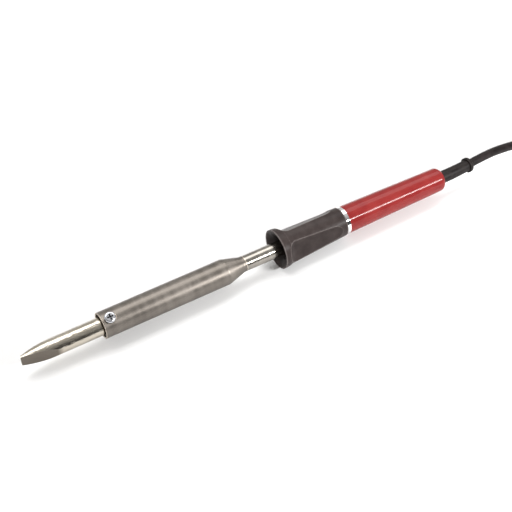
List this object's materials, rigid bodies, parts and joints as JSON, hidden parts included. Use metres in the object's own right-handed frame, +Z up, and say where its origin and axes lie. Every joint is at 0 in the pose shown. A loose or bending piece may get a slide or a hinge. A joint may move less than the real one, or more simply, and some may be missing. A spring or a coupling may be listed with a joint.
{
  "type": "soldering iron",
  "caption": "Mains soldering iron: chisel tip held by a side screw, steel barrel, polished neck, black flanged grip, red handle, tied cord with earthed plug.",
  "frame": {"origin": "middle of the iron's length without its cord, on the bench under the grip's flange", "axes": "+X along the iron from the tip to the cord, +Z up, with the flange's rim resting at Z = 0"},
  "size_m": [0.7434, 0.0528, 0.0364],
  "materials": {
    "tip_plating": "polished nickel over copper",
    "barrel_steel": "satin, warm grey from heat",
    "neck_steel": "polished steel",
    "screw_steel": "bright zinc plate",
    "plain_steel": "plain turned or drawn steel",
    "grip_black": "fine satin moulding",
    "ring_chrome": "mirror bright",
    "handle_red": "glossy moulding",
    "rubber_black": "satin rubber",
    "plug_black": "moulded rubber",
    "pin_nickel": "nickel-plated brass",
    "brass": "turned brass",
    "ceramic_white": "unglazed ceramic",
    "mica": "layered mica",
    "nichrome": "oxidised resistance ribbon",
    "glass_sleeving": "braided glass sleeving",
    "core_insulation": "brown and blue core insulation",
    "earth_insulation": "green and yellow core insulation",
    "nylon": "natural nylon",
    "tie_black": "woven hook-and-loop tie"
  },
  "bodies": {
    "iron": {"barrel": "barrel_steel", "front_bush": "plain_steel", "socket_tube": "plain_steel", "inner_mica": "mica", "outer_mica": "mica", "heater_winding": "nichrome", "rear_spacer": "ceramic_white", "heater_leads": "glass_sleeving", "neck_tube": "neck_steel", "neck_collar": "plain_steel", "earth_tag": "pin_nickel", "retaining_nut": "brass", "grip": "grip_black", "chrome_ring": "ring_chrome", "handle": "handle_red", "terminal_block": "ceramic_white", "terminal_sleeves": "brass", "terminal_screws": "screw_steel", "cord_cores": "core_insulation", "earth_core": "earth_insulation", "cord_end": "rubber_black", "clamp_half_upper": "nylon", "clamp_half_lower": "nylon", "clamp_screws": "screw_steel", "strain_relief": "rubber_black", "mains_cord": "rubber_black", "cord_hank": "rubber_black", "cord_tail": "rubber_black", "cord_tie": "tie_black", "plug_relief": "plug_black", "plug_body": "plug_black", "plug_pins": "pin_nickel", "plug_earth_clips": "pin_nickel"},
    "tip": {"soldering_tip": "tip_plating"},
    "washer": {"lock_washer": "screw_steel"},
    "screw": {"tip_screw": "screw_steel"}
  },
  "joints": [
    {"name": "tip_slide", "type": "slide", "parent": "iron", "child": "tip", "axis": [-1, 0, 0], "range_m": [0, 0.068]},
    {"name": "screw_travel", "type": "slide", "parent": "iron", "child": "washer", "axis": [0, -0.4067, 0.9135], "range_m": [0, 0.0021]},
    {"name": "screw_turn", "type": "hinge", "parent": "washer", "child": "screw", "pos_m": [-0.108, 0, 0.015], "axis": [0, -0.4067, 0.9135], "range_deg": [0, 1080]}
  ],
  "couplings": [
    {"joint": "screw_turn", "follows": "screw_travel", "rad_per_m": 8976}
  ]
}
